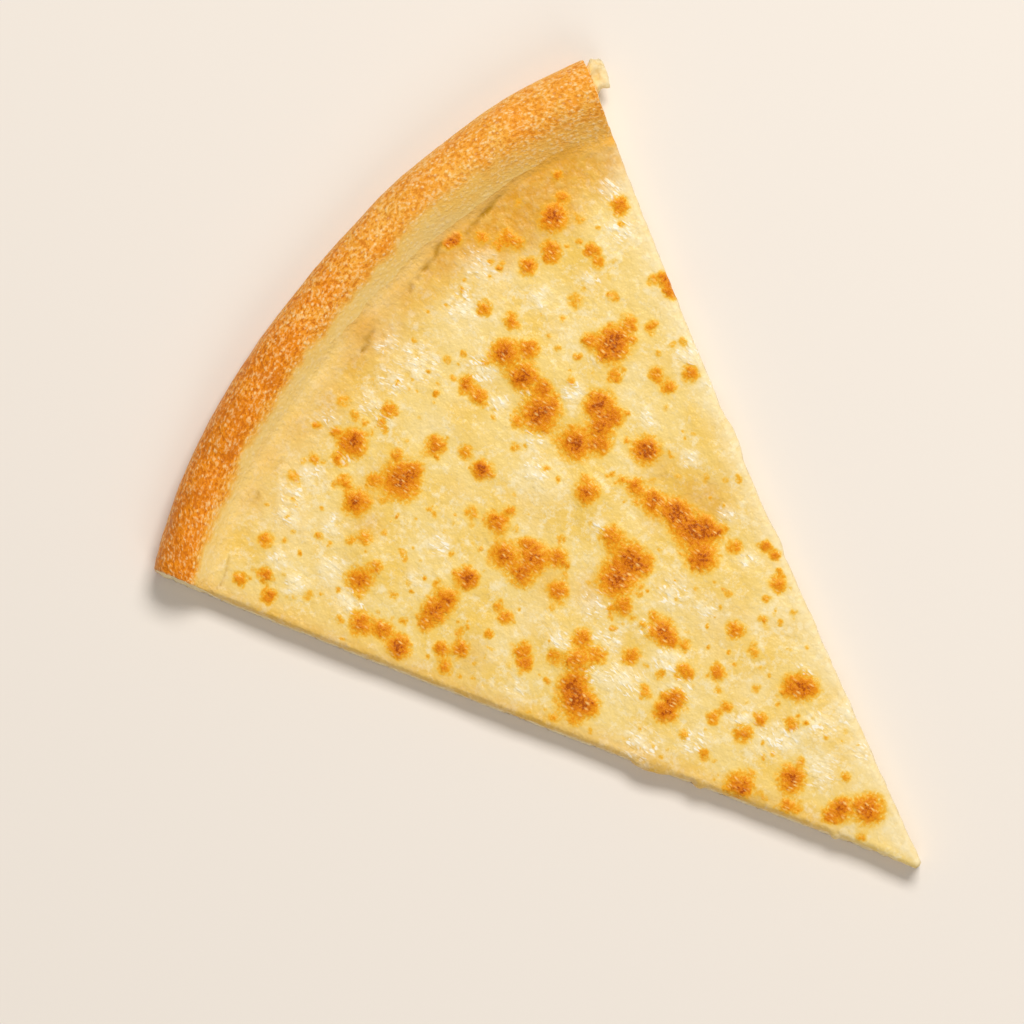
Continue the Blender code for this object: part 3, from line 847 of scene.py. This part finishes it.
def makeCheeseMaterial():
    look = cheeseLook
    material, tree, shader = newMaterial("meltedCheese", look["shader"])
    place = objectPlace(tree)
    wetAndSheen = attribute(tree, "wetAndSheen")
    dry = attribute(tree, "dry")
    brown = attribute(tree, "brown")
    ground = groundColour(tree, place)
    hazy = noiseValue(tree, place, cheeseSizes["haze"], 2, 0.6)
    # painted sheen: the wet places are whitened
    sheenWhite = times(tree, wetAndSheen, remap(tree, hazy, 0.34, 0.62, 0.1, 0.72))
    colour = mixColour(tree, sheenWhite, ground, look["sheenWhite"])
    # painted sheen, with paler thin cheese, along the right cut, at the tip and at the whitened places
    pale = times(tree, attribute(tree, "paleAndSheenEdge"), remap(tree, hazy, 0.3, 0.65, 0.45, 0.75))
    colour = mixColour(tree, pale, colour, look["edgeSheenWhite"])

    grains = noiseValue(tree, place, cheeseSizes["grain"], 2, 0.65)
    spread = times(tree, calc(tree, "SUBTRACT", grains, 0.5), remap(tree, brown, 0.04, 0.4, 0.0, 1.15))
    baked = calc(tree, "ADD", brown, spread, clamp=True)
    bakedColour = colourRamp(tree, baked, [
        (0.0, groundLook["cream"]), (1.0, look["dark"]), (0.12, look["halo"]),
        (0.28, look["yellow"]), (0.48, look["orange"]), (0.76, look["rust"]), (0.95, look["brown"]),
    ])
    colour = mixColour(tree, remap(tree, baked, 0.02, 0.22), colour, bakedColour)
    # the yellowing and painted shade cover the spots' rings, not their browner middles
    stainAndShade = attribute(tree, "stainAndShade")
    stainAndShadeShare = times(tree, stainAndShade, remap(tree, hazy, 0.36, 0.66, 1.0, 0.7))
    stainAndShadeShare = times(tree, stainAndShadeShare, remap(tree, baked, 0.12, 0.42, 1.0, 0.0))
    colour = mixColour(tree, stainAndShadeShare, colour, groundLook["stainAndShade"])

    rimTone, rimHeight = rimColour(tree, place, ground, attribute(tree, "bake"))
    # yellowing and painted shade over the dry rim too
    rimTone = mixColour(tree, times(tree, stainAndShade, 0.8), rimTone, groundLook["stainAndShade"])
    colour = mixColour(tree, dry, colour, rimTone)
    # painted shade in the folds
    colour = mixColour(tree, attribute(tree, "foldAndShade"), colour, look["foldAndShade"])

    streaked = attribute(tree, "streakPlace", "Vector")
    streaks = noiseValue(tree, streaked, cheeseSizes["streak"], 1, 0.6, 0.4)
    # painted highlights: bright dashes and glints in the wet places
    glintShare = times(tree, remap(tree, wetAndSheen, 0.05, 0.6, 0.06, 0.85), calc(tree, "SUBTRACT", 1.0, dry))
    glintDashes = remap(tree, streaks, 0.60, 0.69)
    glints = dots(tree, streaked, cheeseSizes["glint"], 0.06, 0.45)
    glintDashes = times(tree, calc(tree, "MAXIMUM", glintDashes, glints), glintShare)
    glintDashes = times(tree, glintDashes, remap(tree, brown, 0.5, 0.1))
    colour = mixColour(tree, glintDashes, colour, look["glint"])
    # painted glints in the browned spots
    spotGlints = times(tree, glints, remap(tree, brown, 0.15, 0.6, 0.0, 0.9))
    colour = mixColour(tree, spotGlints, colour, look["fleckAndGlint"])
    tree.links.new(colour, shader.inputs["Base Color"])

    wrinkled = times(tree, streaks, remap(tree, wetAndSheen, 0.1, 0.8, 0.00005, 0.00024))
    softened = times(tree, hazy, 0.00055)
    crusty = times(tree, grains, remap(tree, brown, 0.2, 0.75, 0.00008, 0.00042))
    height = calc(tree, "ADD", calc(tree, "ADD", softened, wrinkled), crusty)
    height = calc(tree, "ADD", height, times(tree, rimHeight, dry))
    tree.links.new(bump(tree, height), shader.inputs["Normal"])
    tree.links.new(remap(tree, dry, 0.0, 1.0, 0.30, 0.6), shader.inputs["Roughness"])
    return material


dough = {
    "voxel": 0.00062,
    "lumpRise": 0.00024, "lumpLength": 0.0046, "grainRise": 0.00010, "grainLength": 0.0021,
    "slopeRise": 0.00016, "underDepth": 0.00035, "underLength": 0.0055,
    "poreDepth": 0.00070, "poreLength": 0.0026, "finePoreLength": 0.0012, "fullPore": 0.0015,
    "crumbRise": 0.00060, "crumbLength": 0.0019, "tipRagged": 0.00055, "tipLength": 0.0016,
    "crumbFrom": (598, 81), "crumbTo": (600, 76), "crumbGrow": 1.22,
    "crumbHeight": 0.0058, "crumbBlunt": 0.0045, "crumbSwell": 0.2, "crumbSwellFrom": 0.0028,
    "airHoles": (  # in the rim's cut ends: side, in from the edge, height, radius, depth
        (-1, 0.0098, 0.0056, 0.0014, 0.0013), (-1, 0.0062, 0.0074, 0.0020, 0.0015),
        (-1, 0.0136, 0.0040, 0.0011, 0.0010), (1, 0.0070, 0.0100, 0.0026, 0.0016),
        (1, 0.0125, 0.0068, 0.0019, 0.0014), (1, 0.0172, 0.0078, 0.0012, 0.0010),
        (1, 0.0040, 0.0062, 0.0013, 0.0010),
    ),
}


def remeshedDough():
    bm = bmesh.new()
    bm.from_mesh(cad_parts["dough"].data)
    bmesh.ops.remove_doubles(bm, verts=bm.verts, dist=1e-6)
    shape = addObject("doughShape", meshFrom(bm, "doughShape"))
    remesh = shape.modifiers.new("fine", "REMESH")
    remesh.mode = "VOXEL"
    remesh.voxel_size = dough["voxel"]
    graph = bpy.context.evaluated_depsgraph_get()
    fine = bpy.data.meshes.new_from_object(shape.evaluated_get(graph))
    fine.name = "bakedDough"
    bpy.data.objects.remove(shape)
    print("dough mesh:", len(fine.vertices), "points")
    return fine


# How open the crumb is at the cuts
def poreField(points):
    pores = np.maximum(0, noiseAt(points, dough["poreLength"], (1, 7, 2)) - 0.08) * 1.6
    pores += 0.6 * np.maximum(0, noiseAt(points, dough["finePoreLength"], (9, 3, 3)) - 0.05)
    return np.clip(pores, 0, 1.2)


# Depth of the larger holes in the rim's cut ends
def airHoleField(points, across, inwards):
    holes = np.zeros(len(points))
    for side, holeInwards, height, radius, depth in dough["airHoles"]:
        off = np.hypot(inwards - holeInwards, points[:, 2] - height) / radius
        holes = np.maximum(holes, depth * rise(1.6 - 1.2 * off) * (side * across > 0.9))
    return holes


# The crumb lump's points, a little larger, swollen at the end and blunter
def movedCrumb(points):
    height, blunt = dough["crumbHeight"], dough["crumbBlunt"]
    crumbFrom, crumbTo = fromPicture(*dough["crumbFrom"]), fromPicture(*dough["crumbTo"])
    moved = np.column_stack([points[:, :2] - crumbFrom, points[:, 2] - height])
    moved[:, :2] *= dough["crumbGrow"]
    outwards = np.array([math.cos(halfAngle), -math.sin(halfAngle), 0])
    standing = moved @ outwards
    sidewards = moved - standing[:, None] * outwards
    swell = 1 + dough["crumbSwell"] * rise(standing / dough["crumbSwellFrom"])
    standing = np.where(standing > 0, blunt * np.tanh(standing / blunt), standing)
    return standing[:, None] * outwards + sidewards * swell[:, None] + np.array([*crumbTo, height])


def makeDough(material):
    mesh = remeshedDough()
    points, normals = readPoints(mesh), readPoints(mesh, "normal")
    across, reach = acrossAndReach(points)
    inwards = rimLine("outer", across) - reach
    cutDistance = reach * np.sin(np.clip((1 - np.abs(across)) * halfAngle, -1, 1))
    turn = across * halfAngle
    sideways = np.abs(normals[:, 0] * np.cos(turn) - normals[:, 1] * np.sin(turn))
    cut = rise((sideways - 0.70) / 0.25) * rise((0.0026 - cutDistance) / 0.001)
    cut = np.maximum(cut, rise((0.004 - reach) / 0.002) * (np.abs(normals[:, 2]) < 0.7))
    torn = rise((-cutDistance - 0.0003) / 0.0008)
    cut = np.maximum(cut, torn)
    under = rise((-normals[:, 2] - 0.5) / 0.4) * rise((0.0012 - points[:, 2]) / 0.001) * (1 - torn)
    skin = (1 - cut) * (1 - under) * rise((points[:, 2] - 0.0008) / 0.002)
    covered = (reach < cheeseReach(across) - 0.004) & (points[:, 2] > 0.003) & (normals[:, 2] > 0.5)

    along = turn * reach
    section = inwards - np.maximum(0, 0.008 - points[:, 2]) * (inwards < 0.006)
    grain = noiseAt(points, dough["grainLength"], (4, 4, 4))
    lumps = noiseAt(points, dough["lumpLength"], (2, 1, 5))
    pores = poreField(points)
    holes = airHoleField(points, across, inwards)

    bake = bakeField(across, inwards, points)
    bake *= rise((points[:, 2] + 0.001) / 0.004) * (1 - torn)
    push = bake * skin * (dough["lumpRise"] * lumps + dough["grainRise"] * grain)
    push += (1 - bake) * skin * dough["slopeRise"] * slopeLumps(points)
    push -= cut * np.maximum(dough["poreDepth"] * pores, holes)
    hollows = np.maximum(0, noiseAt(points, dough["underLength"], (7, 7, 7)))
    push -= under * dough["underDepth"] * hollows
    push[covered] = 0
    push += torn * dough["crumbRise"] * noiseAt(points, dough["crumbLength"], (0, 5, 1))
    tipCut = rise((0.032 - reach) / 0.022) * cut
    push += tipCut * dough["tipRagged"] * noiseAt(points, dough["tipLength"], (8, 0, 4))
    points += normals * push[:, None]
    points = between(points, movedCrumb(points), torn[:, None])
    points[:, :2] += leanInwards(across, reach, points[:, 2])
    setPoints(mesh, points)

    setFields(mesh, {
        "bake": bake, "cut": cut, "under": under,
        "pores": np.clip(np.maximum(pores, holes / dough["fullPore"]), 0, 1) * cut,
        "grainPlace": np.column_stack([along * grainStretch, section, points[:, 2]]),
    })

    # The level top under the cheese becomes one face
    bm = bmesh.new()
    bm.from_mesh(mesh)
    hidden = [
        face for face in bm.faces
        if face.normal.z > 0.999 and all(covered[vert.index] for vert in face.verts)
    ]
    bmesh.ops.dissolve_faces(bm, faces=hidden, use_verts=True)
    bm.to_mesh(mesh)
    bm.free()
    mesh.shade_smooth()
    return pieceFrom("bakedDough", mesh, material, "dough")


doughSizes = {"crumb": 0.0012, "toast": 0.010, "flour": 0.0035}
doughLook = {
    "crumb": (0.93, 0.79, 0.50), "crumbDarkAndPoreShade": (0.80, 0.56, 0.22),
    "underPale": (0.80, 0.60, 0.34), "underBrown": (0.42, 0.19, 0.06), "flour": (0.90, 0.84, 0.74),
    "shader": {"IOR": 1.45, "Specular IOR Level": 0.2, "Specular Tint": (1.0, 0.8, 0.45, 1.0)},
}


def makeDoughMaterial():
    look = doughLook
    material, tree, shader = newMaterial("bakedDough", look["shader"])
    place = objectPlace(tree)
    bake = attribute(tree, "bake")
    colour, height = rimColour(tree, place, groundColour(tree, place), bake)

    cut = attribute(tree, "cut")
    crumbNoise = remap(tree, noiseValue(tree, place, doughSizes["crumb"], 3), 0.35, 0.7, 0.0, 0.45)
    # the pores are painted darker: painted shade in the holes, over the crumb's own uneven tone
    holes = times(tree, attribute(tree, "pores"), 0.7)
    deep = calc(tree, "ADD", crumbNoise, holes, clamp=True)
    crumb = mixColour(tree, deep, look["crumb"], look["crumbDarkAndPoreShade"])
    colour = mixColour(tree, cut, colour, crumb)

    toast = remap(tree, noiseValue(tree, place, doughSizes["toast"], 4, 0.65), 0.42, 0.70)
    base = mixColour(tree, toast, look["underPale"], look["underBrown"])
    flour = remap(tree, noiseValue(tree, place, doughSizes["flour"], 3, 0.7), 0.56, 0.70, 0.0, 0.75)
    base = mixColour(tree, flour, base, look["flour"])
    colour = mixColour(tree, attribute(tree, "under"), colour, base)
    tree.links.new(colour, shader.inputs["Base Color"])

    tree.links.new(bump(tree, height), shader.inputs["Normal"])
    tree.links.new(remap(tree, bake, 0.2, 0.9, 0.6, 0.42), shader.inputs["Roughness"])
    return material


stageLook = {
    "floor": (0.87, 0.80, 0.725), "floorSize": 3.0, "floorDrop": 0.0001,
    "cameraDistance": 1.6, "cameraTilt": math.radians(2.5), "frameWidth": 1024,
    "targetHeight": 0.003, "lightColour": (1.0, 0.98, 0.95), "world": 0.30,
    "lights": (  # name, shares up and right, angle, distance, size, power
        ("key", 1, 0.42, 54, 2.4, (1.2, 0.8), 45.0),
        ("fill", -1, 0.3, 42, 2.0, (1.0, 1.0), 7.5),
    ),
}


def makeStage():
    bm = bmesh.new()
    bmesh.ops.create_grid(bm, x_segments=1, y_segments=1, size=stageLook["floorSize"])
    bmesh.ops.translate(bm, vec=(0, 0, -stageLook["floorDrop"]), verts=bm.verts)
    mesh = meshFrom(bm, "floor")
    settings = {"Base Color": (*stageLook["floor"], 1), "Roughness": 0.8}
    mesh.materials.append(newMaterial("floor", settings)[0])
    addObject("floor", mesh)


def addLight(name, place, target, size, power):
    data = bpy.data.lights.new(name, "AREA")
    data.shape = "RECTANGLE"
    data.size, data.size_y = size
    data.energy = power
    data.color = stageLook["lightColour"]
    light = addObject(name, data)
    light.location = place
    light.rotation_euler = (target - place).to_track_quat("-Z", "Y").to_euler()


def makeLightAndCamera():
    look = stageLook
    turned = picture["turn"]
    right = Vector((math.cos(turned), -math.sin(turned), 0))
    up = Vector((math.sin(turned), math.cos(turned), 0))
    upwards = Vector((0, 0, 1))
    middle = look["frameWidth"] / 2
    target = Vector((*fromPicture(middle, middle), look["targetHeight"]))

    for name, ahead, aside, angle, distance, size, power in look["lights"]:
        level = (ahead * up + aside * right).normalized()
        height = math.radians(angle)
        place = target + distance * (math.cos(height) * level + math.sin(height) * upwards)
        addLight(name, place, target, size, power)

    world = bpy.data.worlds.new("softSky")
    world.use_nodes = True
    sky = world.node_tree.nodes["Background"]
    sky.inputs["Color"].default_value = (*look["lightColour"], 1)
    sky.inputs["Strength"].default_value = look["world"]
    bpy.context.scene.world = world

    data = bpy.data.cameras.new("camera")
    data.sensor_fit = "HORIZONTAL"
    data.angle = 2 * math.atan(middle * picture["pixel"] / look["cameraDistance"])
    camera = addObject("camera", data)
    tilt = look["cameraTilt"]
    away = (math.cos(tilt) * upwards - math.sin(tilt) * up).normalized()
    camera.location = target + look["cameraDistance"] * away
    camera.rotation_euler = Matrix((right, away.cross(right), away)).transposed().to_euler()
    bpy.context.scene.camera = camera
    bpy.context.scene.view_settings.view_transform = "Standard"


rimLines["cheese"] = cheeseEdgeLine()
rimLines["wetEdge"] = wetEdgeLine()
makeStage()
makeLightAndCamera()
print("stage, light and camera are set")
makeDough(makeDoughMaterial())
print("dough is made")
makeCheese(makeCheeseMaterial())
print("cheese is made")
